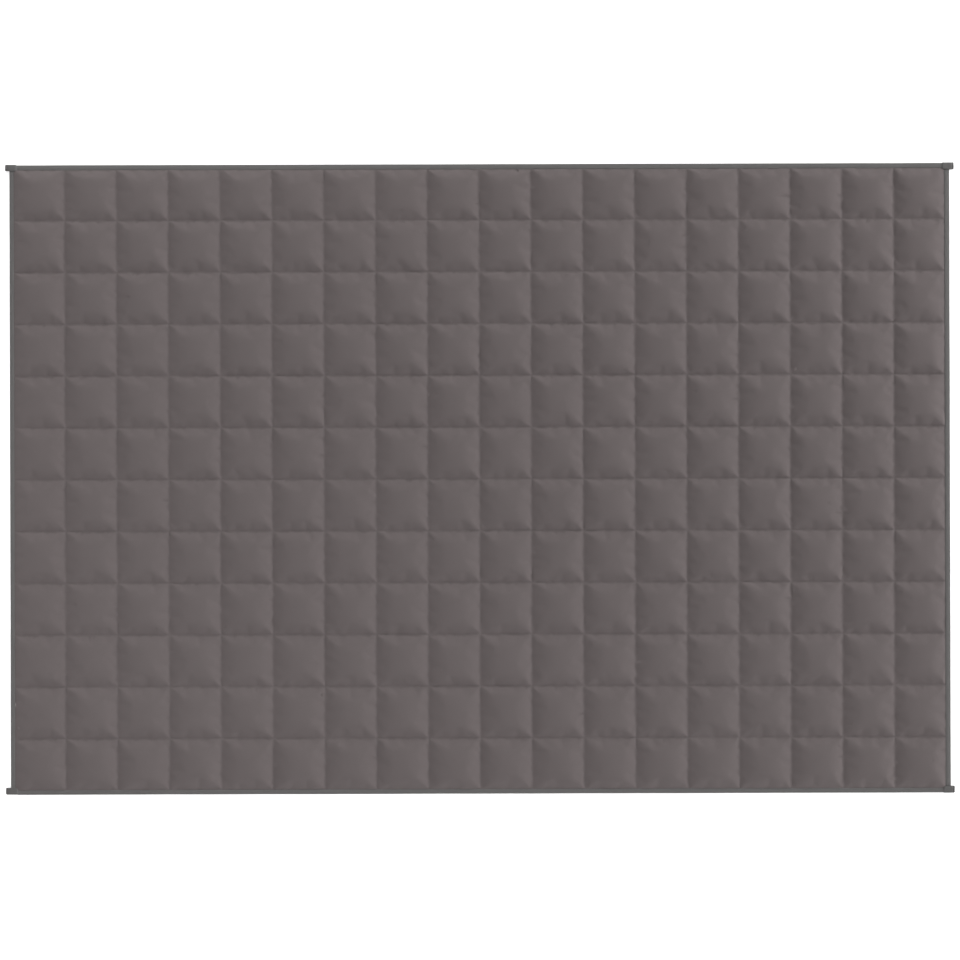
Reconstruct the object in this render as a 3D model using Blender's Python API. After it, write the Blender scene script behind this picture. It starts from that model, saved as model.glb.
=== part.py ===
"""Weighted blanket, lying flat: one quilted panel of filled square pockets, bound on its four edges.

Metres, +X along the long side, +Z up. The origin is on the ground, under the middle of the blanket.
The panel is a single filled body whose seams draw it in from above and below. Two side bindings are
folded over its short edges, and two long bindings are folded over the long edges and over the ends of
the side bindings, so that each long binding ends in two thick tabs that stand past the sides.
"""

import math

import bmesh
import bpy

# Outline and pockets
LENGTH = 1.800  # along X, over the side bindings
WIDTH = 1.205  # along Y, over the long bindings
COLUMNS = 18
ROWS = 12
PITCH = 0.0992  # between two quilting seams

# Quilted panel
SEAM_THICK = 0.0018  # both cloths pressed together by a seam
CROWN_TOP = 0.0132  # height of an ordinary pocket's crown above the ground
CROWN_SPREAD = 0.0011  # how much fuller or flatter a pocket may be
SHOULDER = 0.13  # share of a pocket's side that its shoulder takes
ACROSS_POWER = 2.5  # how blunt a pocket's rise is along X
ALONG_POWER = 3.4  # and along Y, where its top is flatter
SETTLING = (  # two slow waves of filling: turn for each column, turn for each row, start
    (2.3, 1.1, 0.0),
    (-0.9, 1.7, 0.6),
)
FLAT_ANGLE = math.radians(0.5)  # faces of the underside closer to flat than this become one

# Bindings
FOLD_GAP = 0.0003  # between a binding and what it is folded over
TAPE_WALL = 0.0008  # a folded tape, pressed
BINDING_WIDE = 0.0084  # from the blanket's edge to the binding's inner edge
BINDING_THICK = SEAM_THICK + 2 * (FOLD_GAP + TAPE_WALL)
FOLD_WALL = 0.0010  # the tape where it turns round the edge
FOLD_ROUND = 0.48 * BINDING_THICK  # radius of that turn, above and below
LIP_ROUND = 0.0003  # the blunt inner edges
POCKET_START = BINDING_WIDE + 0.0006  # the outermost pockets begin just inside the bindings
FOLD_STEPS = 4  # flats that make a quarter of a fold
LIP_STEPS = 1  # and of a lip

# Thick tab at each end of a long binding, over the end of a side binding
TAB_PAST = 0.0092  # how far it stands past the side
TAB_LONG = 0.0210
TAB_WIDE = 0.0130
TAB_OUT = 0.0016  # how far it stands out from the long edge
TAB_THICK = BINDING_THICK + 2 * (FOLD_GAP + FOLD_WALL)
TAB_TAPER = 0.0020  # from the tab down to the ordinary binding
TAB_SLOT_PAST = 0.0008  # how far the tab's room runs into that taper
TAB_FOLD_ROUND = 0.0022
TAB_LIP_ROUND = 0.0008
TIP_INSET = 0.0007  # a tab's end draws in by this much all round
TIP_FOLD_ROUND = 0.0016
TIP_LIP_ROUND = 0.0004

MID = TAB_THICK / 2  # height of the seams' middle: the four tabs rest on the ground
RAW_EDGE = FOLD_WALL + FOLD_GAP  # from the binding's fold to the panel's cut edge

CLOTH_COLOUR = (0.136, 0.117, 0.117, 1.0)
CLOTH_ROUGHNESS = 0.85
TAPE_COLOUR = (0.130, 0.124, 0.125, 1.0)
TAPE_ROUGHNESS = 0.8


def clear_scene():
    for old in list(bpy.data.objects):
        bpy.data.objects.remove(old, do_unlink=True)


def cloth_material(name, colour, roughness):
    material = bpy.data.materials.new(name)
    material.use_nodes = True
    shader = material.node_tree.nodes["Principled BSDF"]
    shader.inputs["Base Color"].default_value = colour
    shader.inputs["Roughness"].default_value = roughness
    shader.inputs["Metallic"].default_value = 0.0
    return material


def add_object(name, bm, collection, material=None):
    mesh = bpy.data.meshes.new(name)
    bm.to_mesh(mesh)
    bm.free()
    made = bpy.data.objects.new(name, mesh)
    collection.objects.link(made)
    if material:
        mesh.materials.append(material)
    return made


def seam_places(side, count):
    """Where the pockets of one row begin and end, from one binding to the other."""
    first = -PITCH * (count - 2) / 2
    inner = [first + PITCH * k for k in range(count - 1)]
    edge = side / 2 - POCKET_START
    return [-edge, *inner, edge]


def knots(side, count):
    """The grid's places along one side, each with its pocket and its share of the way across it."""
    seams = seam_places(side, count)
    raw = side / 2 - RAW_EDGE
    found = [(-raw, 0, 0.0)]
    for pocket in range(count):
        start, end = seams[pocket], seams[pocket + 1]
        for share in (0.0, SHOULDER, 0.5, 1.0 - SHOULDER):
            found.append((start + share * (end - start), pocket, share))
    found.append((seams[-1], count - 1, 1.0))
    found.append((raw, count - 1, 1.0))
    return found


def rise(share, power):
    """How high a pocket stands at this share of the way across it, from 0 at a seam to 1."""
    return 1.0 - abs(2.0 * share - 1.0) ** power


def fullness(column, row):
    """The filling never settles evenly: from -1 for the flattest pocket to 1 for the fullest."""
    waves = [math.sin(by_column * column + by_row * row + start) for by_column, by_row, start in SETTLING]
    return sum(waves) / len(waves)


def top_height(across, along):
    _, column, u = across
    _, row, v = along
    crown = CROWN_TOP + CROWN_SPREAD * fullness(column, row) - (MID + SEAM_THICK / 2)
    return MID + SEAM_THICK / 2 + crown * rise(u, ACROSS_POWER) * rise(v, ALONG_POWER)


def under_height(across, along):
    """The underside lies flat on the ground, but for a groove under each seam."""
    in_pocket = 0.0 < across[2] < 1.0 and 0.0 < along[2] < 1.0
    return 0.0 if in_pocket else MID - SEAM_THICK / 2


def quilted_panel(collection, material):
    """A sheet of squares, extruded to a second one and closed at the rim, then shaped above and below."""
    across, along = knots(LENGTH, COLUMNS), knots(WIDTH, ROWS)
    many_x, many_y = len(across) - 1, len(along) - 1
    bm = bmesh.new()
    bmesh.ops.create_grid(bm, x_segments=many_x, y_segments=many_y, size=0.5)
    under = list(bm.verts)
    made = bmesh.ops.extrude_face_region(bm, geom=list(bm.faces), use_keep_orig=True)
    above = [part for part in made["geom"] if isinstance(part, bmesh.types.BMVert)]
    for verts, height in ((under, under_height), (above, top_height)):
        for vert in verts:
            place_x = across[round((vert.co.x + 0.5) * many_x)]
            place_y = along[round((vert.co.y + 0.5) * many_y)]
            vert.co = (place_x[0], place_y[0], height(place_x, place_y))
    bmesh.ops.recalc_face_normals(bm, faces=bm.faces)
    lying = set(under)
    under_edges = [edge for edge in bm.edges if edge.verts[0] in lying and edge.verts[1] in lying]
    bmesh.ops.dissolve_limit(bm, angle_limit=FLAT_ANGLE, verts=under, edges=under_edges)
    panel = add_object("quilted_panel", bm, collection, material)
    panel.data.shade_smooth()
    return panel


def binding_ring(inner, outer, thick, fold_round, lip_round):
    """A binding's outline as seen along it: round where the tape folds, and blunt at its two lips.

    inner and outer are measured across the binding, and the points run round it once.
    """
    corners = (
        (outer - fold_round, thick / 2 - fold_round, fold_round, 0, FOLD_STEPS),
        (inner + lip_round, thick / 2 - lip_round, lip_round, 90, LIP_STEPS),
        (inner + lip_round, lip_round - thick / 2, lip_round, 180, LIP_STEPS),
        (outer - fold_round, fold_round - thick / 2, fold_round, 270, FOLD_STEPS),
    )
    points = []
    for middle_across, middle_up, radius, start, steps in corners:
        for step in range(steps + 1):
            angle = math.radians(start + 90 * step / steps)
            points.append((middle_across + radius * math.cos(angle), middle_up + radius * math.sin(angle)))
    return points


def loft(stations):
    """A closed body through outlines at several places along it: (place, outline), all of one count."""
    bm = bmesh.new()
    rings = [[bm.verts.new((place, across, MID + up)) for across, up in ring] for place, ring in stations]
    for ring, following in zip(rings, rings[1:]):
        for k in range(len(ring)):
            after = (k + 1) % len(ring)
            bm.faces.new((ring[k], ring[after], following[after], following[k]))
    bm.faces.new(rings[0])
    bm.faces.new(list(reversed(rings[-1])))
    bmesh.ops.recalc_face_normals(bm, faces=bm.faces)
    return bm


def slot_cutter(name, low, high, collection):
    """A box that leaves room inside a fold for what the tape is folded over."""
    bm = bmesh.new()
    bmesh.ops.create_cube(bm, size=1.0)
    for vert in bm.verts:
        vert.co = [low[k] + (vert.co[k] + 0.5) * (high[k] - low[k]) for k in range(3)]
    cutter = add_object(name, bm, collection)
    cutter.hide_render = True
    cutter.display_type = "WIRE"
    return cutter


def cut(body, cutter):
    cutter.parent = body
    modifier = body.modifiers.new("slot", "BOOLEAN")
    modifier.operation = "DIFFERENCE"
    modifier.solver = "EXACT"
    modifier.object = cutter


def flange_slot(name, half_long, half_side, collection):
    """The room for the panel's flat rim, in a binding that runs along its own X."""
    room = SEAM_THICK / 2 + FOLD_GAP
    low = (-half_long, half_side - 2 * BINDING_WIDE, MID - room)
    high = (half_long, half_side - FOLD_WALL, MID + room)
    return slot_cutter(name, low, high, collection)


def side_binding(name, turn, collection, cutters, material):
    """A binding along a short edge. Both its ends lie inside the long bindings."""
    half_long = WIDTH / 2 - RAW_EDGE
    ring = binding_ring(LENGTH / 2 - BINDING_WIDE, LENGTH / 2, BINDING_THICK, FOLD_ROUND, LIP_ROUND)
    binding = add_object(name, loft([(-half_long, ring), (half_long, ring)]), collection, material)
    cut(binding, flange_slot(name + "_slot", WIDTH, LENGTH / 2, cutters))
    binding.rotation_euler.z = turn
    return binding


def long_binding(name, turn, collection, cutters, material):
    """A binding along a long edge, with its two tabs."""
    half = WIDTH / 2
    usual = binding_ring(half - BINDING_WIDE, half, BINDING_THICK, FOLD_ROUND, LIP_ROUND)
    tab_inner, tab_outer = half + TAB_OUT - TAB_WIDE, half + TAB_OUT
    tab = binding_ring(tab_inner, tab_outer, TAB_THICK, TAB_FOLD_ROUND, TAB_LIP_ROUND)
    tip_inner, tip_outer = tab_inner + TIP_INSET, tab_outer - TIP_INSET
    tip = binding_ring(tip_inner, tip_outer, TAB_THICK - 2 * TIP_INSET, TIP_FOLD_ROUND, TIP_LIP_ROUND)
    end = LENGTH / 2 + TAB_PAST
    right = [
        (end - TAB_LONG - TAB_TAPER, usual),
        (end - TAB_LONG, tab),
        (end - TIP_INSET, tab),
        (end, tip),
    ]
    left = [(-place, ring) for place, ring in reversed(right)]
    binding = add_object(name, loft(left + right), collection, material)
    cut(binding, flange_slot(name + "_slot", LENGTH / 2 - BINDING_WIDE, half, cutters))
    room = BINDING_THICK / 2 + FOLD_GAP
    for sign in (-1, 1):
        near = sign * (end - TAB_LONG - TAB_SLOT_PAST)
        far = sign * (LENGTH / 2 + FOLD_GAP)
        low = (min(near, far), half - 2 * TAB_WIDE, MID - room)
        high = (max(near, far), half - FOLD_WALL, MID + room)
        cut(binding, slot_cutter(f"{name}_tab_slot_{1 + (sign > 0)}", low, high, cutters))
    binding.rotation_euler.z = turn
    return binding


def main():
    clear_scene()
    blanket = bpy.data.collections.new("weighted_blanket")
    cutters = bpy.data.collections.new("cutters")
    for collection in (blanket, cutters):
        bpy.context.scene.collection.children.link(collection)
    cloth = cloth_material("quilt_cloth", CLOTH_COLOUR, CLOTH_ROUGHNESS)
    tape = cloth_material("binding_tape", TAPE_COLOUR, TAPE_ROUGHNESS)
    quilted_panel(blanket, cloth)
    long_binding("binding_top", 0.0, blanket, cutters, tape)
    long_binding("binding_bottom", math.pi, blanket, cutters, tape)
    side_binding("binding_left", math.pi / 2, blanket, cutters, tape)
    side_binding("binding_right", -math.pi / 2, blanket, cutters, tape)


main()
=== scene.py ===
# %% [markdown]
# # A weighted blanket, spread flat and seen from straight above
#
# The real thing is two cloths sewn to each other in a grid of squares. Every square is a pocket with a
# little loose filling in it, so it stands up like a small, low cushion. A narrow tape is folded over each
# edge. The two long tapes are a little too long: their ends are turned in, and stand past the corners as
# four thick tabs.
#
# The solids that give the blanket its size and its weight are already made. They come in as a frame that
# never moves, and everything below is built on it: the cloth, the stitches, the tapes and their finishes.

import math

import bmesh
import bpy
import numpy as np
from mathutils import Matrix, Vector, noise


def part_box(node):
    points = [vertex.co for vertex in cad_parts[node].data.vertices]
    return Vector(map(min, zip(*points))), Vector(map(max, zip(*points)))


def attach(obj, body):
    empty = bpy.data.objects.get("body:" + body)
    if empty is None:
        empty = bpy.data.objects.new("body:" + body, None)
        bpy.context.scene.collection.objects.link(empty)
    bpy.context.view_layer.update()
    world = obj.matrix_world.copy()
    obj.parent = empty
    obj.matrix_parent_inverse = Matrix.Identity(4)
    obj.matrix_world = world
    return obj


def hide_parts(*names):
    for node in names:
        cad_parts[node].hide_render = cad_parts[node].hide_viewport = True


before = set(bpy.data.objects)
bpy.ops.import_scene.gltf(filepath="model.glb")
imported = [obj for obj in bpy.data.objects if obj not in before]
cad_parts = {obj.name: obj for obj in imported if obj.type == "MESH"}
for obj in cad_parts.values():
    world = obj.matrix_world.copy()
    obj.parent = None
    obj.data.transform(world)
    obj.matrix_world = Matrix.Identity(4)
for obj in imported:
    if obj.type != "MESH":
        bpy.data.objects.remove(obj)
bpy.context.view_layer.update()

# %% [markdown]
# ## The sizes that everything follows
#
# The frame's boxes say where the panel's cut edge, the tapes and the tabs are. Only the pocket grid has
# to be said again, because a box doesn't show it: 18 by 12 squares of 99.2 mm. All lengths are in metres.

# %% Sizes from the frame
COLUMNS, ROWS = 18, 12
PITCH = 0.0992
MM = 0.001

panel_low, panel_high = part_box("quilted_panel")
side_low, side_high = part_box("binding_left")
long_low, long_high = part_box("binding_top")

half_length = -side_low.x
tape_wide = side_high.x - side_low.x
tape_half = (side_high.z - side_low.z) / 2
mid_height = (side_high.z + side_low.z) / 2
turn_of_tape = half_length - panel_high.x
half_width = panel_high.y + turn_of_tape
tab_end = long_high.x
tab_inner, tab_outer = long_low.y, long_high.y
tab_half = (long_high.z - long_low.z) / 2
print(f"blanket {2 * half_length:.3f} by {2 * half_width:.3f}, tape {tape_wide / MM:.1f} mm wide")

# %% [markdown]
# ## The camera
#
# The picture was taken from straight above. A long lens from five metres up keeps the far pockets as
# square as the near ones. The seams are 51.78 pixels apart in the picture, which sets the distance, and
# the blanket lies turned by a sixth of a degree.

# %% The camera
PICTURE_PIXELS = 960
SEAM_PIXELS = 51.78
LENS, SENSOR = 100.0, 36.0
BLANKET_TURN = math.radians(0.155)
PIXELS_UP = 1.1

pixel = PITCH / SEAM_PIXELS
seen = bpy.data.cameras.new("above")
seen.lens, seen.sensor_width = LENS, SENSOR
camera = bpy.data.objects.new("above", seen)
camera.location = (0.0, -PIXELS_UP * pixel, mid_height + PICTURE_PIXELS * pixel * LENS / SENSOR)
camera.rotation_euler.z = -BLANKET_TURN
bpy.context.scene.collection.objects.link(camera)
bpy.context.scene.camera = camera
bpy.context.scene.view_settings.view_transform = "Standard"
print(f"camera {camera.location.z:.3f} above the floor, {pixel / MM:.3f} mm to a pixel")

# %% [markdown]
# ## One small class for shader nodes
#
# A finish is a tree of nodes, and most of those nodes only add or multiply. `Signal` wraps the output of
# a node, so that such maths can be written as a Python expression: `1 - mask * 0.2` adds two Math nodes.
# Every other node comes from its `node` method: the node's type, its settings, then what goes into its
# sockets.

# %% The Signal class
class Signal:
    """One output in a shader tree."""

    def __init__(self, tree, socket=None):
        self.tree, self.socket = tree, socket

    def node(self, kind, settings=None, sockets=None, output=0):
        made = self.tree.nodes.new(kind)
        for name, value in (settings or {}).items():
            setattr(made, name, value)
        for name, value in (sockets or {}).items():
            if isinstance(value, Signal):
                self.tree.links.new(value.socket, made.inputs[name])
            else:
                made.inputs[name].default_value = value
        return Signal(self.tree, made.outputs[output])

    def maths(self, operation, *values):
        """A Math node on this signal, and on a second value where the operation takes one."""
        return self.node("ShaderNodeMath", {"operation": operation}, dict(enumerate((self, *values))))

    def __add__(self, other):
        return self.maths("ADD", other)

    def __sub__(self, other):
        return self.maths("SUBTRACT", other)

    def __rsub__(self, other):
        return self.node("ShaderNodeMath", {"operation": "SUBTRACT"}, {0: other, 1: self})

    def __mul__(self, other):
        return self.maths("MULTIPLY", other)

    __radd__, __rmul__ = __add__, __mul__


MIX_FACTOR, MIX_FIRST, MIX_SECOND, MIX_RESULT = 0, 6, 7, 2  # a Mix node's colour sockets, by place


def shade_mix(amount, first, second):
    """A colour between two colours, at that amount."""
    sockets = {MIX_FACTOR: amount, MIX_FIRST: first, MIX_SECOND: second}
    return amount.node("ShaderNodeMix", {"data_type": "RGBA"}, sockets, MIX_RESULT)


def new_finish(name):
    """An empty material, its shader, and a Signal to start from."""
    finish = bpy.data.materials.new(name)
    finish.use_nodes = True
    shader = finish.node_tree.nodes["Principled BSDF"]
    return finish, shader, Signal(finish.node_tree)


def set_sockets(node, values):
    """Plain values on a node's own sockets."""
    for name, value in values.items():
        node.inputs[name].default_value = value


# %% [markdown]
# ## Floor and light
#
# The picture has a plain white ground with no shadow on it, as on a lit table. The floor is a white disc
# that also glows faintly, which is how such a table swallows the thin blanket's shadow.
#
# The light comes from the upper right. It is strongest near that corner: the pockets there are shaded
# far more than those at the lower left, while their mean brightness stays the same. A far, low key light
# gives most of it. Weaker lamps stand low on the other sides, and one hangs over the lower left: they take
# the shading away there and keep the brightness even. Apart from that one, the lamps are low, because low
# light brightens both flanks of a pocket more than its flat middle, as the picture shows. The room does the
# same: its walls are white up to 17 degrees above the floor, and its ceiling is dark.

# %% The floor
FLOOR_RADIUS, FLOOR_SIDES = 6.0, 96


def white(value):
    return (value, value, value, 1.0)


FLOOR_SURFACE = {
    "Base Color": white(0.9),
    "Roughness": 0.9,
    "Specular IOR Level": 0.0,
    "Emission Color": white(1.0),
    "Emission Strength": 0.66,
}

bpy.ops.mesh.primitive_circle_add(vertices=FLOOR_SIDES, radius=FLOOR_RADIUS, fill_type="NGON")
floor = bpy.context.object
floor.name = "floor"
floor_finish, floor_shader, _ = new_finish("white_floor")
set_sockets(floor_shader, FLOOR_SURFACE)
floor.data.materials.append(floor_finish)
print(f"floor {2 * FLOOR_RADIUS:.0f} metres across")

# %% The room
WALL_TOP, CEILING_FROM = 0.30, 0.50  # sines of the angle above the floor
CEILING_SHARE = 0.1

world = bpy.data.worlds.new("pale_room")
world.use_nodes = True
room = Signal(world.node_tree)
upward = room.node("ShaderNodeSeparateXYZ", sockets={0: room.node("ShaderNodeTexCoord")}, output=2)
soft = {"interpolation_type": "SMOOTHSTEP"}
limits = {"From Min": WALL_TOP, "From Max": CEILING_FROM, "To Min": 1.0, "To Max": CEILING_SHARE}
walls_white = upward.node("ShaderNodeMapRange", soft, {"Value": upward, **limits})
background = world.node_tree.nodes["Background"]
set_sockets(background, {"Color": white(1.0)})
world.node_tree.links.new(walls_white.socket, background.inputs["Strength"])
bpy.context.scene.world = world
print(f"walls white up to {math.degrees(math.asin(WALL_TOP)):.0f} degrees")

# %% The lamps
LAMPS = (  # name, where it stands, its side in metres, its power in watts
    ("key_upper_right", (4.70, 2.15, 1.90), 1.5, 280.0),
    ("low_top_left", (-1.00, 1.95, 0.80), 0.6, 15.5),
    ("low_bottom", (0.95, -2.50, 1.00), 0.7, 23.0),
    ("low_left", (-2.10, -0.30, 0.77), 0.6, 8.0),
    ("over_lower_left", (-0.70, -0.76, 1.23), 0.5, 3.8),
)

for name, place, side, watts in LAMPS:
    lamp = bpy.data.lights.new(name, "AREA")
    lamp.size, lamp.energy = side, watts
    light = bpy.data.objects.new(name, lamp)
    light.location = place
    light.rotation_euler = (-Vector(place)).to_track_quat("-Z", "Y").to_euler()
    light.visible_camera = False
    bpy.context.scene.collection.objects.link(light)
print(len(LAMPS), "lamps and a pale room")

# %% [markdown]
# ## Where the seams run
#
# The inner seams are a pitch apart. The outermost pockets begin right under the tapes' inner edges, their
# lips, and past them is a flat rim that the tapes are folded over. The right and the top tape were sewn on
# a little wider than the others. The cloth's mesh lines are closer together beside a seam, where the cloth
# turns sharply, than in the middle of a pocket.

# %% Seams and mesh lines
LIP_FURTHER_IN = {"left": 0.0, "right": 0.9 * MM, "bottom": 0.0, "top": 0.8 * MM}
SEAM_UNDER_LIP = 0.4 * MM
SEAM_HALF = 0.9 * MM
DIVISIONS = 18
CLOSER_AT_SEAMS = 0.35

lip_at = {side: half_length - tape_wide - LIP_FURTHER_IN[side] for side in ("left", "right")}
lip_at.update({side: half_width - tape_wide - LIP_FURTHER_IN[side] for side in ("bottom", "top")})


def seam_places(count, first_lip, last_lip):
    inner = PITCH * (np.arange(count - 1) - (count - 2) / 2)
    return np.concatenate([[-first_lip - SEAM_UNDER_LIP], inner, [last_lip + SEAM_UNDER_LIP]])


def mesh_lines(seams):
    """The lines' places, and each line's share of the way across its pocket."""
    even = np.arange(DIVISIONS) / DIVISIONS
    share = even - CLOSER_AT_SEAMS * np.sin(2 * np.pi * even) / (2 * np.pi)
    places = (seams[:-1, None] + share * np.diff(seams)[:, None]).ravel()
    return np.append(places, seams[-1]), np.append(np.tile(share, len(seams) - 1), 0.0)


seams_x = seam_places(COLUMNS, lip_at["left"], lip_at["right"])
seams_y = seam_places(ROWS, lip_at["bottom"], lip_at["top"])
lines_x, share_x = mesh_lines(seams_x)
lines_y, share_y = mesh_lines(seams_y)
seam_top = mid_height + SEAM_HALF
print(len(lines_x), "by", len(lines_y), "mesh lines")

# %% [markdown]
# ## A pocket's first shape
#
# The simulation starts from a sheet that is already crowned, with a little unevenness in it. A flat sheet
# would blow up into round domes with flat corners, while a filled pocket is full right into its corners.
#
# Across, the filling has slid a little to the right, so the ridge is past the middle. A pocket's two curves,
# across and along, meet in four soft hips that run in from its corners, as on a tent roof: a power mean
# with a negative power is a minimum that rounds off the edge between them. The filling never settles evenly
# either, so each pocket's height, ridge, slant and hips are drawn at random, with a fixed seed.

# %% The crowned start
CROWN = 8.4 * MM
ACROSS_POWER, ALONG_POWER = 1.75, 2.5
RIDGE, RIDGE_SLANT = 0.57, -0.10
HIP = 4.0
HEIGHT_VARIES, RIDGE_VARIES, SLANT_VARIES, HIP_VARIES = 0.09, 0.05, 0.10, 1.2
UNEVEN, UNEVEN_LENGTH = 0.8 * MM, 22.0 * MM
UNEVEN_LAYERS = (3.7, 17.1, 31.3)  # where in the noise each axis takes its values from
EDGE_FADE = 4.0 * MM
SEED = 7
TINY = 1e-6


def uneven(x, y, length, layer):
    """Smooth noise between about -1 and 1, of that wavelength."""
    values = [noise.noise((a / length, b / length, layer)) for a, b in zip(x.ravel(), y.ravel())]
    return np.array(values).reshape(x.shape)


def to_seam(places, seams):
    """How far each place is from the nearest seam."""
    return np.abs(places[:, None] - seams[None, :]).min(axis=1)


def rise_between_seams(share, ridge, power):
    """0 at a pocket's two seams and 1 on its ridge."""
    from_ridge = np.where(share < ridge, (ridge - share) / ridge, (share - ridge) / (1 - ridge))
    return np.maximum(1 - from_ridge**power, TINY)


flat_x, flat_y = np.meshgrid(lines_x, lines_y)
across, along = np.meshgrid(share_x, share_y)
in_column = np.minimum(np.arange(len(lines_x)) // DIVISIONS, COLUMNS - 1)
in_row = np.minimum(np.arange(len(lines_y)) // DIVISIONS, ROWS - 1)
draws = np.random.default_rng(SEED).uniform(-1.0, 1.0, (6, ROWS, COLUMNS))
taller, ridge_draw, slant, hip_draw, ridge_along_draw, slant_along = draws[:, in_row][:, :, in_column]

ridge_across = RIDGE + RIDGE_VARIES * ridge_draw + (RIDGE_SLANT + SLANT_VARIES * slant) * (along - 0.5)
ridge_along = 0.5 + RIDGE_VARIES * ridge_along_draw + SLANT_VARIES * slant_along * (across - 0.5)
hip = HIP + HIP_VARIES * hip_draw
rise_across = rise_between_seams(across, ridge_across, ACROSS_POWER)
rise_along = rise_between_seams(along, ridge_along, ALONG_POWER)
rise = ((rise_across**-hip + rise_along**-hip) / 2) ** (-1 / hip)

from_seam = np.minimum(to_seam(lines_x, seams_x)[None, :], to_seam(lines_y, seams_y)[:, None])
fade = np.minimum(1.0, from_seam / EDGE_FADE)
on_seam = from_seam < TINY
rise[on_seam] = 0.0
start = np.stack([flat_x, flat_y, seam_top + CROWN * rise * (1 + HEIGHT_VARIES * taller)], axis=2)
for axis, layer in enumerate(UNEVEN_LAYERS):
    start[:, :, axis] += UNEVEN * fade * uneven(flat_x, flat_y, UNEVEN_LENGTH, layer)
print(f"first crown {(start[:, :, 2].max() - seam_top) / MM:.1f} mm")

# %% [markdown]
# ## The cloth simulation
#
# Blender's Cloth then does what the filling does: a light pressure pushes the sheet up between seams that
# hold it, and because the cloth is a little larger than its square (`shrink_min` below zero), the extra
# gathers into puckers along the stitching. Gravity is off, since the filling carries the cloth. The mesh
# that comes out is read back as points, and the simulated object is removed.

# %% Simulate the upper cloth
EXTRA_CLOTH = 0.0045
FRAMES = 22
FABRIC = {  # light and supple, and damped enough to settle in those frames
    "quality": 5,
    "mass": 0.3,
    "tension_stiffness": 15.0,
    "compression_stiffness": 15.0,
    "shear_stiffness": 5.0,
    "bending_stiffness": 0.05,
    "tension_damping": 5.0,
    "compression_damping": 5.0,
    "shear_damping": 5.0,
    "bending_damping": 0.5,
    "air_damping": 1.0,
    "vertex_group_mass": "sewn",
    "use_pressure": True,
    "uniform_pressure_force": 4.0,
    "shrink_min": -EXTRA_CLOTH,
}


def grid_faces(rows, columns, first=0):
    """Four-sided faces between the points of a grid, anticlockwise from above."""
    index = first + np.arange(rows * columns).reshape(rows, columns)
    return np.stack([index[:-1, :-1], index[:-1, 1:], index[1:, 1:], index[1:, :-1]], axis=2).reshape(-1, 4)


def simulate_upper_cloth(points, held):
    rows, columns = held.shape
    mesh = bpy.data.meshes.new("upper_cloth")
    mesh.from_pydata(points.reshape(-1, 3).tolist(), [], grid_faces(rows, columns).tolist())
    sheet = bpy.data.objects.new("upper_cloth", mesh)
    bpy.context.scene.collection.objects.link(sheet)
    pins = sheet.vertex_groups.new(name="sewn")
    pins.add(np.nonzero(held.ravel())[0].tolist(), 1.0, "REPLACE")
    cloth = sheet.modifiers.new("Cloth", "CLOTH")
    for setting, value in FABRIC.items():
        setattr(cloth.settings, setting, value)
    cloth.settings.effector_weights.gravity = 0.0
    cloth.collision_settings.use_collision = cloth.collision_settings.use_self_collision = False
    cloth.point_cache.frame_start, cloth.point_cache.frame_end = 1, FRAMES
    for number in range(1, FRAMES + 1):
        bpy.context.scene.frame_set(number)
    settled = sheet.evaluated_get(bpy.context.evaluated_depsgraph_get()).data
    found = np.empty(len(settled.vertices) * 3)
    settled.vertices.foreach_get("co", found)
    bpy.data.objects.remove(sheet, do_unlink=True)
    bpy.context.scene.frame_set(1)
    return found.reshape(points.shape)


MOST_SIDEWAYS, MOST_UP = 3.0 * MM, 13.0 * MM
upper = simulate_upper_cloth(start, on_seam)
upper[:, :, 0] = np.clip(upper[:, :, 0], flat_x - MOST_SIDEWAYS, flat_x + MOST_SIDEWAYS)
upper[:, :, 1] = np.clip(upper[:, :, 1], flat_y - MOST_SIDEWAYS, flat_y + MOST_SIDEWAYS)
upper[:, :, 2] = np.clip(upper[:, :, 2], seam_top, seam_top + MOST_UP)
print(f"highest crown {upper[:, :, 2].max() / MM:.1f} mm, mean {upper[:, :, 2].mean() / MM:.1f} mm")

# %% [markdown]
# ## The flat rim, and a finer mesh
#
# Outside the last seam the two cloths run on flat to their cut edge, hidden in the folded tape. Then each
# mesh cell is halved both ways. The new points lie on a smooth curve through their neighbours in the same
# pocket, so that the pockets stay round while the seams stay sharp.

# %% Rim and halving
def with_rim(points):
    """One more line of points on every side, at the panel's cut edge."""
    wider = np.pad(points, ((1, 1), (1, 1), (0, 0)), mode="edge")
    wider[:, 0, 0], wider[:, -1, 0] = -panel_high.x, panel_high.x
    wider[0, :, 1], wider[-1, :, 1] = -panel_high.y, panel_high.y
    return wider


BETWEEN = (-0.0625, 0.5625, 0.5625, -0.0625)  # shares of the two lines before and the two after a gap
AFTER_SEAM, BEFORE_SEAM = (0.0, 0.375, 0.75, -0.125), (-0.125, 0.75, 0.375, 0.0)
STRAIGHT = (0.0, 0.5, 0.5, 0.0)


def halved(points):
    """Points halfway between the lines of the first axis, curved inside a pocket and straight in the rim."""
    lines = len(points)
    gap = np.arange(lines - 1)
    before, after, beyond = np.maximum(gap - 1, 0), gap + 1, np.minimum(gap + 2, lines - 1)
    in_pocket = (gap - 1) % DIVISIONS
    in_rim = (gap == 0) | (gap == lines - 2)
    starts, ends = in_pocket == 0, in_pocket == DIVISIONS - 1
    weights = np.where(starts[:, None], AFTER_SEAM, BETWEEN)
    weights = np.where(ends[:, None], BEFORE_SEAM, weights)
    weights = np.where(in_rim[:, None], STRAIGHT, weights)
    finer = np.empty((2 * lines - 1, *points.shape[1:]))
    finer[::2] = points
    finer[1::2] = 0.0
    for weight, line in zip(weights.T, (before, gap, after, beyond)):
        finer[1::2] += weight[:, None, None] * points[line]
    return finer


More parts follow.
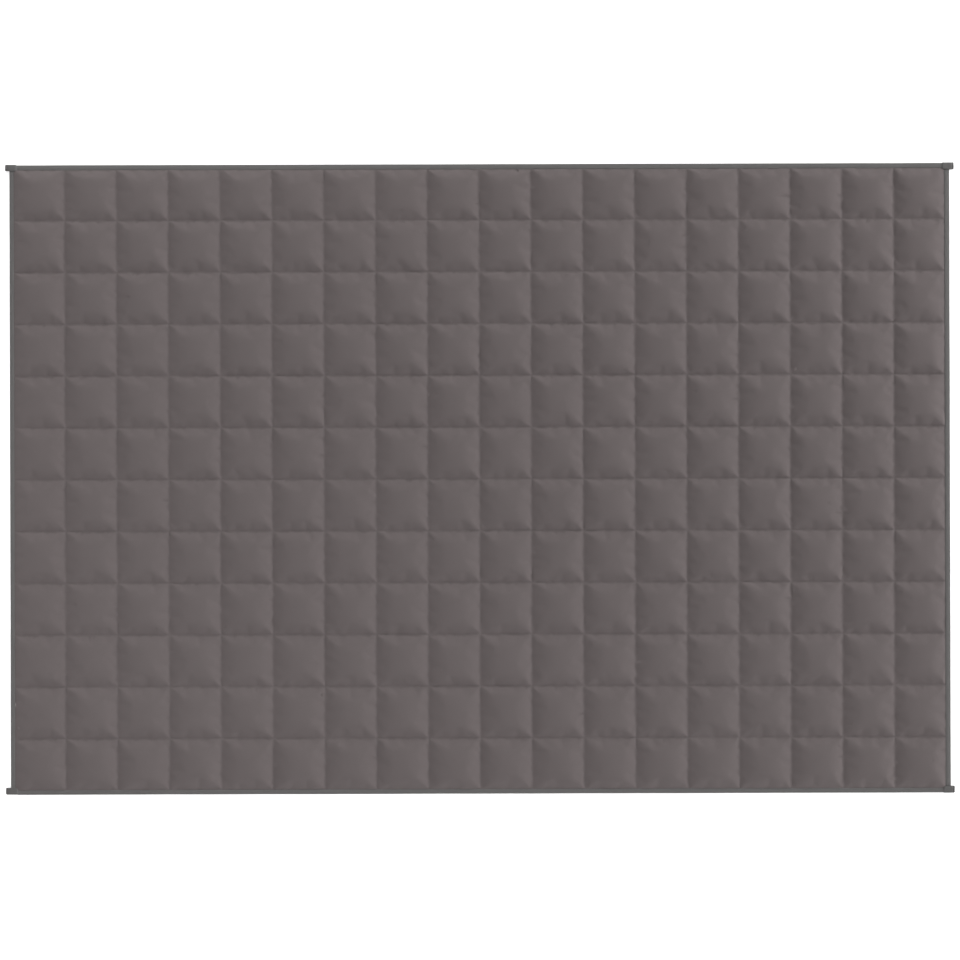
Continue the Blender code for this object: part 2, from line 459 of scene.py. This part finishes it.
top = halved(with_rim(upper))
top = halved(top.transpose(1, 0, 2)).transpose(1, 0, 2)
print("upper cloth:", top.shape[0] * top.shape[1], "points")

# %% [markdown]
# ## Small puckers along the stitching
#
# A seam shortens as it is sewn, and draws the cloth beside it into short creases that run away from it.
# They are noise stretched across the seam, strongest 2 to 4 mm from it and gone after some 20 mm. Some
# stretches of seam pucker far more than others. Here and there the cloth was caught in a tuck, a short deep
# fold: those are the few highest peaks of another noise, and everything below them is cut off.

# %% Puckers
PUCKER = 0.60 * MM
PUCKER_LENGTH = 10.0 * MM
PUCKER_STRETCH = 2.4
PUCKER_STARTS, PUCKER_FADES = 1.5 * MM, 6.0 * MM
PATCH_LENGTH = 55.0 * MM
PATCH_MIDDLE, PATCH_CONTRAST, PATCH_LEAST = 0.4, 1.8, 0.15
TUCK, TUCK_LENGTH, TUCK_CUT = 1.6, 8.0 * MM, 0.48
LAYERS_ACROSS_X, LAYERS_ACROSS_Y = (5.2, 2.8, 14.6), (9.4, 6.1, 21.8)  # for creases, patches and tucks


def puckers(x, y, nearest, across_x):
    """Creases that cross a seam: short along it and long away from it."""
    strength = (1 - np.exp(-nearest / PUCKER_STARTS)) * np.exp(-nearest / PUCKER_FADES)
    stretch_x, stretch_y = (PUCKER_STRETCH, 1.0) if across_x else (1.0, PUCKER_STRETCH)
    crease_layer, patch_layer, tuck_layer = LAYERS_ACROSS_X if across_x else LAYERS_ACROSS_Y
    crease = uneven(x / stretch_x, y / stretch_y, PUCKER_LENGTH, crease_layer)
    busy = np.clip(PATCH_MIDDLE + PATCH_CONTRAST * uneven(x, y, PATCH_LENGTH, patch_layer), 0.0, 1.0)
    patch = PATCH_LEAST + (1 - PATCH_LEAST) * busy
    peaks = uneven(x / stretch_x, y / stretch_y, TUCK_LENGTH, tuck_layer)
    tuck = TUCK * np.maximum(peaks - TUCK_CUT, 0.0) / (1 - TUCK_CUT)
    return strength * (crease * patch - tuck)


near_x = to_seam(top[0, :, 0], seams_x)[None, :] + np.zeros(top.shape[:2])
near_y = to_seam(top[:, 0, 1], seams_y)[:, None] + np.zeros(top.shape[:2])
inside = (top[:, :, 0] > seams_x[0]) & (top[:, :, 0] < seams_x[-1])
inside &= (top[:, :, 1] > seams_y[0]) & (top[:, :, 1] < seams_y[-1])
clear_of_seams = np.clip(np.minimum(near_x, near_y) / PUCKER_STARTS, 0.0, 1.0) * inside
lift = puckers(top[:, :, 0], top[:, :, 1], near_x, True) + puckers(top[:, :, 0], top[:, :, 1], near_y, False)
top[:, :, 2] = np.maximum(top[:, :, 2] + PUCKER * clear_of_seams * lift, seam_top)
print(f"highest pucker {PUCKER * (clear_of_seams * lift).max() / MM:.2f} mm")

# %% [markdown]
# ## The underside, and one closed mesh
#
# The lower cloth has the same pockets, but the blanket's weight presses them flat on the ground. Its
# points come from the upper cloth, turned half round so that the two faces don't repeat each other. They
# go down from the seams and stop softly at the ground. A wall at the cut edge closes the mesh: over
# every second point of the upper cloth there is one below.

# %% Build the quilt
UNDER_FALL = 1.3
SOFT_STOP = 0.25 * MM
QUILT_TRIANGLES = 190000


def underside(points):
    """The upper cloth's coarser lines, upside down and pressed on the ground."""
    below = points[::2, ::2].copy()
    turned = below[::-1, ::-1, 2]
    free = (mid_height - SEAM_HALF) - UNDER_FALL * (turned - seam_top)
    below[:, :, 2] = (free + np.sqrt(free**2 + SOFT_STOP**2)) / 2
    return below


def border(rows, columns, first):
    """The points round a grid's edge, once, anticlockwise from above."""
    index = first + np.arange(rows * columns).reshape(rows, columns)
    return np.concatenate([index[0, :-1], index[:-1, -1], index[-1, :0:-1], index[:0:-1, 0]])


under = underside(top)
top_faces = grid_faces(*top.shape[:2])
under_first = top.shape[0] * top.shape[1]
under_faces = grid_faces(*under.shape[:2], under_first)[:, ::-1]
top_ring, under_ring = border(*top.shape[:2], 0), border(*under.shape[:2], under_first)
walls = np.stack(
    [under_ring, np.roll(under_ring, -1), np.roll(top_ring, -2)[::2], top_ring[1::2], top_ring[::2]], axis=1
)
quilt_points = np.concatenate([top.reshape(-1, 3), under.reshape(-1, 3)])
fine_mesh = bpy.data.meshes.new("quilt_fine")
fine_mesh.from_pydata(quilt_points.tolist(), [], top_faces.tolist() + under_faces.tolist() + walls.tolist())
quilt = bpy.data.objects.new("quilt", fine_mesh)
bpy.context.scene.collection.objects.link(quilt)
triangles = 2 * (len(top_faces) + len(under_faces)) + 3 * len(walls)
print("quilt before thinning:", triangles, "triangles")

# %% [markdown]
# Most of those faces are on cloth that is nearly flat. Blender's Decimate takes them out there and keeps
# them at the seams and puckers.

# %% Thin the quilt's mesh
thin = quilt.modifiers.new("thin", "DECIMATE")
thin.ratio = QUILT_TRIANGLES / triangles
thinned = bpy.data.meshes.new_from_object(quilt.evaluated_get(bpy.context.evaluated_depsgraph_get()))
quilt.modifiers.clear()
quilt.data = thinned
thinned.name = "quilt"
bpy.data.meshes.remove(fine_mesh)
thinned.shade_smooth()
thinned.calc_loop_triangles()
print("quilt:", len(thinned.loop_triangles), "triangles")

# %% [markdown]
# Thinning folds a few small faces over, which would show as bright specks. Their points are drawn towards
# the middle of their neighbours until each face of the upper cloth looks up, and each of the lower one
# down. The points on the seams and the rim stay where they are. Thinning also leaves some points a hair
# below the ground, and those are lifted back.

# %% Smooth the folded faces
STEEPEST = 0.15
SMOOTHING_ROUNDS, SMOOTHING_STEP = 12, 0.5
OFF_SEAM = SEAM_HALF + 0.05 * MM
LOWEST = 0.02 * MM

cloths = bmesh.new()
cloths.from_mesh(thinned)
for _ in range(SMOOTHING_ROUNDS):
    folded = set()
    for face in cloths.faces:
        from_middle = face.calc_center_median().z - mid_height
        if abs(from_middle) > OFF_SEAM and math.copysign(1.0, from_middle) * face.normal.z < STEEPEST:
            folded.update(vert for vert in face.verts if abs(vert.co.z - mid_height) > OFF_SEAM)
    print(len(folded), "points of folded faces")
    if not folded:
        break
    verts = sorted(folded, key=lambda vert: vert.index)
    axes = {"use_axis_x": True, "use_axis_y": True, "use_axis_z": True}
    bmesh.ops.smooth_vert(cloths, verts=verts, factor=SMOOTHING_STEP, **axes)
    cloths.normal_update()
sunk = [vert for vert in cloths.verts if vert.co.z < LOWEST]
for vert in sunk:
    vert.co.z = LOWEST
print(len(sunk), "points lifted to the ground")
cloths.to_mesh(thinned)
cloths.free()

# %% [markdown]
# ## Quilting stitches
#
# Each seam is a row of stitches, about three and a half millimetres from one to the next. A stitch is a
# short, thick loop of thread that dives into the cloth at both ends, so it is modelled as a spindle with
# two tips and two rings of four points. One function makes them all, along any list of lines.

# %% Stitches along lines
STITCH_PITCH = 3.6 * MM
STITCH_SHARE = 0.72
THREAD_RADIUS = 0.24 * MM
SINK = 0.30 * MM
RING_SIDES = 4
RINGS_AT = (-0.45, 0.45)


def stitches(name, lines, pitch):
    """Spindles along straight lines. A line is (start, end, up), as vectors."""
    middles, alongs, ups = [], [], []
    for start_point, end_point, up in lines:
        start_point, end_point = np.array(start_point), np.array(end_point)
        length = np.linalg.norm(end_point - start_point)
        many = int(length / pitch)
        along = (end_point - start_point) / length
        where = (np.arange(many) + 0.5)[:, None] * (length / many)
        middles.append(start_point + where * along)
        alongs.append(np.tile(along, (many, 1)))
        ups.append(np.tile(up, (many, 1)))
    middle, along, up = (np.concatenate(part).astype(float) for part in (middles, alongs, ups))
    across = np.cross(along, up)
    half = pitch * STITCH_SHARE / 2
    rings = [middle - half * along - SINK * up]
    for end in RINGS_AT:
        for turn in np.arange(RING_SIDES) * 2 * np.pi / RING_SIDES:
            out = THREAD_RADIUS * (np.cos(turn) * across + np.sin(turn) * up)
            rings.append(middle + end * half * along + out)
    rings.append(middle + half * along - SINK * up)
    places = np.stack(rings, axis=1)
    one = []
    last = 1 + 2 * RING_SIDES
    for k in range(RING_SIDES):
        after = (k + 1) % RING_SIDES
        one.append((0, 1 + k, 1 + after))
        one.append((1 + k, 1 + RING_SIDES + k, 1 + RING_SIDES + after))
        one.append((1 + k, 1 + RING_SIDES + after, 1 + after))
        one.append((last, 1 + RING_SIDES + after, 1 + RING_SIDES + k))
    faces = (np.array(one)[None] + (last + 1) * np.arange(len(places))[:, None, None]).reshape(-1, 3)
    mesh = bpy.data.meshes.new(name)
    mesh.from_pydata(places.reshape(-1, 3).tolist(), [], faces.tolist())
    mesh.shade_smooth()
    made = bpy.data.objects.new(name, mesh)
    bpy.context.scene.collection.objects.link(made)
    print(name, len(places), "stitches,", len(faces), "triangles")
    return made


def quilting_lines(height, up):
    """The inner seams, from one tape to the other."""
    lines = [((x, seams_y[0], height), (x, seams_y[-1], height), up) for x in seams_x[1:-1]]
    return lines + [((seams_x[0], y, height), (seams_x[-1], y, height), up) for y in seams_y[1:-1]]


UP, DOWN = (0.0, 0.0, 1.0), (0.0, 0.0, -1.0)
STITCH_RAISED = 0.10 * MM
seam_bottom = mid_height - SEAM_HALF
quilting_above = stitches("quilting_above", quilting_lines(seam_top + STITCH_RAISED, UP), STITCH_PITCH)
quilting_under = stitches("quilting_under", quilting_lines(seam_bottom - STITCH_RAISED, DOWN), STITCH_PITCH)

# %% [markdown]
# ## The folded tapes
#
# A tape is folded lengthwise over the edge, with its own edges turned in. It is blunt at its two lips, puffs
# up in the middle and falls towards the edge, round which it turns, so that its outer half leans outwards
# and catches other light than its inner half. Its shape across is a ring of points: over the top
# from the lip to the fold, round it, back below, and then in and out again along the slot that holds the
# panel's rim. Rings like that, a few millimetres apart, are joined into one closed body. It is never
# quite even: the lip wanders, and the tape is puckered by the row of stitches beside its lip.

# %% A ring across a tape
TOP_SHARES = np.array([0.0, 0.05, 0.11, 0.16, 0.21, 0.27, 0.36, 0.48, 0.61, 0.74, 0.87, 1.0])
FOLD_STEPS = 5
STITCH_FROM_LIP = 1.5 * MM
STITCH_GROOVE, GROOVE_WIDE = 0.04 * MM, 0.45 * MM
CROWN_SKEW = 0.9
NOSE_SHARE, NOSE_REACH = 0.35, 0.6  # how blunt a lip is, and how far it bulges, as shares


def tape_crown(share, lip_half, edge_half, puff):
    """How high a tape stands above its middle, from its lip (share 0) to where its fold begins (1)."""
    return lip_half + (edge_half - lip_half) * share + puff * np.sin(np.pi * share**CROWN_SKEW)


def tape_ring(inner, outer, fold, lip_half, edge_half, puff, slot_half, slot_end):
    """(across, up) points round a folded tape, once. inner and outer are where its lips and fold are."""
    run = (outer - fold) - inner
    from_lip = TOP_SHARES * run
    crown = tape_crown(TOP_SHARES, lip_half, edge_half, puff)
    crown = crown - STITCH_GROOVE * np.exp(-(((from_lip - STITCH_FROM_LIP) / GROOVE_WIDE) ** 2))
    turn = np.linspace(0.0, np.pi / 2, FOLD_STEPS + 1)[1:]
    bend = np.stack([outer - fold + fold * np.sin(turn), crown[-1] * np.cos(turn)], axis=1)
    above = np.concatenate([np.stack([inner + from_lip, crown], axis=1), bend])
    nose = NOSE_SHARE * (crown[0] - slot_half)
    tip = inner - NOSE_REACH * nose
    lip = np.array([(tip, crown[0] - nose), (tip, slot_half + nose), (inner, slot_half)])
    slot = np.array([((inner + slot_end) / 2, slot_half), (slot_end, slot_half)])
    half_ring = np.concatenate([slot[::-1], lip[::-1], above])
    mirrored = half_ring[::-1] * (1, -1)
    return np.concatenate([half_ring, mirrored[1:]])


def loft_rings(name, rings):
    """A closed body through rings of (x, y, z) points, all of one count."""
    many, sides = rings.shape[:2]
    index = np.arange(many * sides).reshape(many, sides)
    around = np.roll(index, -1, axis=1)
    faces = np.stack([index[:-1], around[:-1], around[1:], index[1:]], axis=2).reshape(-1, 4).tolist()
    faces += [index[0, ::-1].tolist(), index[-1].tolist()]
    mesh = bpy.data.meshes.new(name)
    mesh.from_pydata(rings.reshape(-1, 3).tolist(), [], faces)
    mesh.shade_smooth()
    made = bpy.data.objects.new(name, mesh)
    bpy.context.scene.collection.objects.link(made)
    print(name, many, "rings of", sides, "points")
    return made


# %% [markdown]
# The side tapes are plain: one shape all along, with its small unevenness. Their ends lie inside the long
# tapes' tabs, where they are pressed flatter. The tapes were folded a hair further out than the solids say,
# by an amount of each side's own.

# %% The side tapes
TAPE_STEP = 4.0 * MM
TAPE_PUFF = 0.42 * MM
LIP_HALF = 1.37 * MM
EDGE_HALF = 1.35 * MM
TAPE_FOLD = 1.70 * MM
SLOT_HALF = SEAM_HALF + 0.25 * MM
FOLD_WALL = 1.0 * MM
WANDER, WANDER_LENGTH = 0.30 * MM, 70.0 * MM
FOLD_WANDER = 0.5 * WANDER
NEXT_LAYER, WANDER_SLICE = 3.0, 0.5  # places in the noise
TAPE_PUCKER, TAPE_PUCKER_LENGTH = 0.16 * MM, 9.0 * MM
PRESSED_FROM, PRESSED_PUFF = 2.0 * MM, 0.35
FOLD_FURTHER_OUT = {"left": 0.2 * MM, "right": 0.6 * MM, "bottom": 0.6 * MM, "top": 0.6 * MM}


def wander(place, length, layer):
    """Slow unevenness along a tape, between about -1 and 1."""
    return noise.noise((place / length, layer, WANDER_SLICE))


def side_tape(side, sign, layer):
    half_long = panel_high.y
    steps = round(2 * half_long / TAPE_STEP)
    fold_at = half_length + FOLD_FURTHER_OUT[side]
    rings = []
    for place in np.linspace(-half_long, half_long, steps + 1):
        pressed = 1.0 if abs(place) < tab_inner - PRESSED_FROM else PRESSED_PUFF
        puff = pressed * (TAPE_PUFF + TAPE_PUCKER * wander(place, TAPE_PUCKER_LENGTH, layer))
        lip = lip_at[side] + WANDER * wander(place, WANDER_LENGTH, layer + NEXT_LAYER)
        fold = fold_at + FOLD_WANDER * wander(place, WANDER_LENGTH, layer + 2 * NEXT_LAYER)
        slot_end = half_length - FOLD_WALL
        ring = tape_ring(lip, fold, TAPE_FOLD, LIP_HALF, EDGE_HALF, puff, SLOT_HALF, slot_end)
        rings.append([(sign * across, place, mid_height + up) for across, up in ring])
    return loft_rings(f"side_tape_{side}", np.array(rings)[:: sign])


side_tapes = [side_tape("left", -1, 2.0), side_tape("right", 1, 12.0)]

# %% [markdown]
# The long tapes swell into a tab at each end. There the tape goes over the side tape as well, and its own
# end is turned in: a crease crosses the tab just before the end, the two end corners are pinched, and the
# end itself is two folded layers with a slit between them. No two tabs were folded alike: each is cut a
# little shorter, and lies a little further in or out, by amounts of its own.

# %% The long tapes
TAB_LONG = 21.0 * MM
SWELL = 2.5 * MM
TAB_STEP = 0.7 * MM
TAB_PUFF = 0.35 * MM
TAB_EDGE_THINNER, TAB_LIP_THINNER = 0.4 * MM, 0.5 * MM
TAB_SLOT_HIGHER = 0.6 * MM  # room for the side tape's end
PAST_PANEL = 0.3 * MM
SLOT_IN_TIP, SLOT_IN_TIP_DEEP = 0.25 * MM, 0.5 * MM
TIP_ROUND, TIP_DRAWN_IN, TIP_THINNER = 1.6 * MM, 1.2 * MM, 0.9 * MM
OUTSIDE_FROM = 0.5
CREASE_FROM_END, CREASE_DEEP, CREASE_WIDE = 3.4 * MM, 0.8 * MM, 0.9 * MM
PINCH_DEEP, PINCH_WIDE, PINCH_IN = 1.4 * MM, 1.3 * MM, 1.9 * MM
SLIT_DEEP, SLIT_WIDE = 1.0 * MM, 0.5 * MM
TABS = {  # (long tape, end): how much shorter, its inner edge further out, its outer edge further out
    (1, -1): (1.2 * MM, 1.1 * MM, 0.2 * MM),
    (1, 1): (0.4 * MM, 0.0, 0.0),
    (-1, -1): (-0.3 * MM, -1.2 * MM, -1.4 * MM),
    (-1, 1): (1.4 * MM, -0.5 * MM, -0.4 * MM),
}


def smooth_step(value, start_at, end_at):
    share = min(1.0, max(0.0, (value - start_at) / (end_at - start_at)))
    return share * share * (3 - 2 * share)


def long_stations(sign):
    """Places along a long tape, close together in its tabs."""
    tab_from = tab_end - TAB_LONG - SWELL
    middle = np.linspace(-tab_from, tab_from, round(2 * tab_from / TAPE_STEP) + 1)
    left, right = (tab_end - TABS[sign, end][0] for end in (-1, 1))
    many = round((tab_end - tab_from) / TAB_STEP)
    left_tab = -np.linspace(left, tab_from, many + 1)[:-1]
    return np.concatenate([left_tab, middle, np.linspace(tab_from, right, many + 1)[1:]])


def long_tape(side, sign, layer):
    fold_at = half_width + FOLD_FURTHER_OUT[side]
    rings = []
    for place in long_stations(sign):
        shorter, inner_out, outer_out = TABS[sign, 1 if place > 0 else -1]
        from_end = tab_end - shorter - abs(place)
        swell = smooth_step(tab_end - abs(place), TAB_LONG + SWELL, TAB_LONG)
        inner_edge, outer_edge = tab_inner + inner_out, tab_outer + outer_out
        lip = (1 - swell) * lip_at[side] + swell * inner_edge
        fold = (1 - swell) * fold_at + swell * outer_edge
        lip += WANDER * wander(place, WANDER_LENGTH, layer) * (1 - swell)
        fold += FOLD_WANDER * wander(place, WANDER_LENGTH, layer + NEXT_LAYER)
        half = (1 - swell) * EDGE_HALF + swell * (tab_half - TAB_EDGE_THINNER)
        lip_half = (1 - swell) * LIP_HALF + swell * (tab_half - TAB_LIP_THINNER)
        turn = (1 - swell) * TAPE_FOLD + swell * (tab_half - TAB_EDGE_THINNER)
        puckered = TAPE_PUCKER * wander(place, TAPE_PUCKER_LENGTH, layer + 2 * NEXT_LAYER)
        puff = (1 - swell) * (TAPE_PUFF + puckered) + swell * TAB_PUFF
        slot_half = SLOT_HALF + swell * (tape_half + TAB_SLOT_HIGHER - SLOT_HALF)
        slot_end = half_width - FOLD_WALL
        if abs(place) > half_length + PAST_PANEL:
            slot_half, slot_end = SLOT_IN_TIP, lip + SLOT_IN_TIP_DEEP
        draw_in = 0.0
        if from_end < TIP_ROUND:
            draw_in = 1.0 - math.sqrt(max(0.0, 1.0 - (1.0 - from_end / TIP_ROUND) ** 2))
        lip, fold = lip + draw_in * TIP_DRAWN_IN, fold - draw_in * TIP_DRAWN_IN
        half, lip_half = half - draw_in * TIP_THINNER, lip_half - draw_in * TIP_THINNER
        ring = tape_ring(lip, fold, turn, lip_half, half, puff, slot_half, slot_end)
        across, up = ring[:, 0], ring[:, 1].copy()
        crease = CREASE_DEEP * math.exp(-(((from_end - CREASE_FROM_END) / CREASE_WIDE) ** 2))
        pinch = sum(
            np.exp(-((from_end - PINCH_IN) ** 2 + (across - corner) ** 2) / PINCH_WIDE**2)
            for corner in (inner_edge + PINCH_IN, outer_edge - PINCH_IN)
        )
        outside = np.abs(up) > OUTSIDE_FROM * half
        up -= np.sign(up) * outside * (crease + PINCH_DEEP * pinch)
        back = SLIT_DEEP * np.exp(-((up / SLIT_WIDE) ** 2)) if from_end < TIP_ROUND else 0.0
        x = place - math.copysign(1.0, place) * back * np.ones(len(up))
        rings.append(np.stack([x, sign * across, mid_height + up], axis=1))
    return loft_rings(f"long_tape_{side}", np.array(rings)[:: -sign])


long_tapes = [long_tape("top", 1, 22.0), long_tape("bottom", -1, 42.0)]

# %% [markdown]
# ## Topstitching
#
# One row of stitches holds each tape, close to its lip, and shows above and below. They are the same
# spindles, a little closer together.

# %% Topstitching
TOPSTITCH_PITCH = 3.0 * MM


def topstitch_lines(side, up):
    """One line on every tape, at the bottom of its stitch groove."""
    share = STITCH_FROM_LIP / (tape_wide - TAPE_FOLD)
    height = mid_height + side * (tape_crown(share, LIP_HALF, EDGE_HALF, TAPE_PUFF) - STITCH_GROOVE)
    end_x, end_y = tab_end - TAB_LONG - SWELL, tab_inner - PRESSED_FROM
    lines_at_x = (-lip_at["left"] - STITCH_FROM_LIP, lip_at["right"] + STITCH_FROM_LIP)
    lines_at_y = (-lip_at["bottom"] - STITCH_FROM_LIP, lip_at["top"] + STITCH_FROM_LIP)
    lines = [((x, -end_y, height), (x, end_y, height), up) for x in lines_at_x]
    return lines + [((-end_x, y, height), (end_x, y, height), up) for y in lines_at_y]


topstitch_above = stitches("topstitching_above", topstitch_lines(1, UP), TOPSTITCH_PITCH)
topstitch_under = stitches("topstitching_under", topstitch_lines(-1, DOWN), TOPSTITCH_PITCH)

# %% [markdown]
# ## The quilt's cloth
#
# It is a matte, slightly warm grey microfibre. Close by it shows a fine plain weave and a short nap; from
# a distance only a faint mottling, and a little painted shade along the seams, where the cloth dips into
# the stitching. The weave is two crossed waves, and the painted shade is measured from the seam lines
# themselves: `PINGPONG` turns a place into its distance from the nearest multiple of the pitch.

# %% The cloth's finish
CLOTH_SHADE = (0.1356, 0.1155, 0.1156, 1.0)
CLOTH_DARK = (0.1127, 0.0961, 0.0961, 1.0)
CLOTH_SURFACE = {
    "Specular IOR Level": 0.25,
    "Sheen Weight": 0.45,
    "Sheen Roughness": 0.5,
    "Sheen Tint": (1.0, 0.90, 0.90, 1.0),
}
CLOTH_ROUGH, CLOTH_ROUGH_VARIES = 0.82, 0.12
WEAVE_PITCH, WEAVE_BUMP = 1.1 * MM, (0.35, 0.12 * MM)  # a bump's strength and height
NAP, NAP_BUMP = (1400.0, 3.0, 0.6), (0.35, 0.25 * MM)  # a noise's scale, detail and roughness
MOTTLE, CLOUDS = (9.0, 3.0, 0.55), (60.0, 2.0, 0.5)
# how far the painted shade along the seams reaches; the next line gives how dark it is, then the mottling's
# and clouds' shares
SEAM_SHADE_REACH = 2.5 * MM
SEAM_SHADE_PAINTED, MOTTLE_DARK, CLOUD_DARK = 0.06, 0.5, 0.25


def places(begin):
    """The x, y and z of the point that is shaded, and then the point itself."""
    found = begin.node("ShaderNodeTexCoord", output=3)
    return [begin.node("ShaderNodeSeparateXYZ", sockets={0: found}, output=k) for k in range(3)] + [found]


def noise_at(place, scale, detail, roughness):
    sockets = {"Vector": place, "Scale": scale, "Detail": detail, "Roughness": roughness}
    return place.node("ShaderNodeTexNoise", {"noise_dimensions": "3D"}, sockets)


def thread_wave(coordinate, pitch):
    return (coordinate * (2 * math.pi / pitch)).maths("SINE")


def soft_step(value, start_at, end_at):
    """Rises smoothly from 0 at the first value to 1 at the second."""
    sockets = {"Value": value, "From Min": start_at, "From Max": end_at}
    return value.node("ShaderNodeMapRange", {"interpolation_type": "SMOOTHSTEP"}, sockets)


def seam_mask(coordinate, wide):
    """1 on a seam line, 0 beyond that distance from it."""
    return soft_step(coordinate.maths("PINGPONG", PITCH / 2), wide, 0.0)


def add_bump(height, strength, distance, below=None):
    """A normal raised by that height, on top of another normal if one is given."""
    sockets = {"Height": height, "Strength": strength, "Distance": distance}
    if below:
        sockets["Normal"] = below
    return height.node("ShaderNodeBump", {}, sockets)


def connect(shader, name, signal):
    signal.tree.links.new(signal.socket, shader.inputs[name])


cloth_finish, cloth_shader, begin = new_finish("grey_microfibre")
x, y, _, where = places(begin)
weave = thread_wave(x, WEAVE_PITCH) * thread_wave(y, WEAVE_PITCH)
nap = noise_at(where, *NAP)
# painted shade: the cloth's colour is darkened along every seam line
painted_seam_shade = seam_mask(x, SEAM_SHADE_REACH).maths("MAXIMUM", seam_mask(y, SEAM_SHADE_REACH))
uneven_dye = MOTTLE_DARK * noise_at(where, *MOTTLE) + CLOUD_DARK * noise_at(where, *CLOUDS)
darker = SEAM_SHADE_PAINTED * painted_seam_shade + uneven_dye
connect(cloth_shader, "Base Color", shade_mix(darker, CLOTH_SHADE, CLOTH_DARK))
connect(cloth_shader, "Roughness", CLOTH_ROUGH + CLOTH_ROUGH_VARIES * nap)
set_sockets(cloth_shader, CLOTH_SURFACE)
connect(cloth_shader, "Normal", add_bump(nap, *NAP_BUMP, add_bump(weave, *WEAVE_BUMP)))
quilt.data.materials.append(cloth_finish)
print(cloth_finish.name, len(cloth_finish.node_tree.nodes), "nodes")

# %% [markdown]
# ## The tape
#
# The tape is a more neutral grey, with a fine rib across it. The rib runs with the tape, so the long and
# the side tapes have a finish each, made by one function. The turned-in ends are painted a little darker,
# as painted shade of the folded layers there.

# %% The tapes' finish
TAPE_SHADE = (0.137, 0.133, 0.131, 1.0)
TAPE_DARK = (0.108, 0.105, 0.104, 1.0)
TAPE_SURFACE = {"Specular IOR Level": 0.3, "Sheen Weight": 0.08}
TAPE_ROUGH, TAPE_ROUGH_VARIES = 0.72, 0.15
RIB_PITCH, RIB_BUMP = 0.9 * MM, (0.45, 0.12 * MM)
FIBRES, FIBRE_BUMP = (1600.0, 2.0, 0.6), (0.3, 0.2 * MM)
TAPE_MOTTLE = (25.0, 3.0, 0.55)
TAPE_MOTTLE_DARK, RIB_DARK, TAB_PAINTED_SHADE = 0.35, 0.12, 0.5


def tape_finish(name, ribs_along_x):
    finish, shader, begin = new_finish(name)
    x, y, _, where = places(begin)
    rib = thread_wave(x if ribs_along_x else y, RIB_PITCH)
    fibres = noise_at(where, *FIBRES)
    darker = TAPE_MOTTLE_DARK * noise_at(where, *TAPE_MOTTLE) + RIB_DARK * rib
    if ribs_along_x:
        # painted shade: the tabs are coloured darker
        in_tab = soft_step(x.maths("ABSOLUTE"), tab_end - TAB_LONG - SWELL, tab_end - TAB_LONG)
        darker = darker + TAB_PAINTED_SHADE * in_tab
    connect(shader, "Base Color", shade_mix(darker, TAPE_SHADE, TAPE_DARK))
    connect(shader, "Roughness", TAPE_ROUGH + TAPE_ROUGH_VARIES * fibres)
    set_sockets(shader, TAPE_SURFACE)
    connect(shader, "Normal", add_bump(fibres, *FIBRE_BUMP, add_bump(rib, *RIB_BUMP)))
    print(name, len(finish.node_tree.nodes), "nodes")
    return finish


long_finish = tape_finish("ribbed_tape_long", True)
side_finish = tape_finish("ribbed_tape_side", False)
for tape in long_tapes:
    tape.data.materials.append(long_finish)
for tape in side_tapes:
    tape.data.materials.append(side_finish)

# %% [markdown]
# ## The threads
#
# Spun polyester, smoother than the cloth: the seams are sewn in the cloth's own grey and the tapes in a
# lighter, more neutral one. That tape thread is partly its own grey and partly painted light: it is kept
# lighter than the tape to lift the shade beside the lips. The thread's twist is a fine slanting wave.

# %% The threads' finish
THREADS = {  # its shade, and the lighter shade on the outside of its twist
    "quilting_thread": ((0.118, 0.104, 0.104, 1.0), (0.145, 0.130, 0.130, 1.0)),
    # lighter than the tape: partly its own grey, partly painted light that lifts the shade beside the lips
    "tape_thread": ((0.150, 0.146, 0.144, 1.0), (0.180, 0.175, 0.172, 1.0)),
}
THREAD_SURFACE = {"Roughness": 0.6, "Sheen Weight": 0.05}
TWIST_PITCH, TWIST_BUMP = 0.5 * MM, (0.5, 0.05 * MM)
TWIST_VARIES = 0.3


def thread_finish(name):
    finish, shader, begin = new_finish(name)
    x, y, z, _ = places(begin)
    twist = thread_wave(x + y + z, TWIST_PITCH)
    connect(shader, "Base Color", shade_mix(0.5 + TWIST_VARIES * twist, *THREADS[name]))
    set_sockets(shader, THREAD_SURFACE)
    connect(shader, "Normal", add_bump(twist, *TWIST_BUMP))
    print(name, len(finish.node_tree.nodes), "nodes")
    return finish


quilting_thread, tape_thread = (thread_finish(name) for name in THREADS)
for seam in (quilting_above, quilting_under):
    seam.data.materials.append(quilting_thread)
for seam in (topstitch_above, topstitch_under):
    seam.data.materials.append(tape_thread)
threads = [quilting_above, quilting_under, topstitch_above, topstitch_under]

# %% [markdown]
# ## What each piece stands for
#
# Every piece rides on the blanket's one body. The quilt takes the place of the plain solid panel, and
# each tape that of its binding. The tapes are sheets of cloth, cut 24 mm wide: 9 to 10 mm above, as much
# below, the turn round the edge, and a turned-in hem at each lip.

# %% Attach every piece, and hide the solids they take the place of
TURNED_IN = 10.0 * MM

for piece in [quilt, *threads, *side_tapes, *long_tapes]:
    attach(piece, "root")
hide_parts("quilted_panel")
tapes = (
    (long_tapes[0], "binding_top", 2 * (tab_end + TURNED_IN)),
    (long_tapes[1], "binding_bottom", 2 * (tab_end + TURNED_IN)),
    (side_tapes[0], "binding_left", 2 * panel_high.y),
    (side_tapes[1], "binding_right", 2 * panel_high.y),
)
for tape, node, cut_length in tapes:
    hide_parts(node)
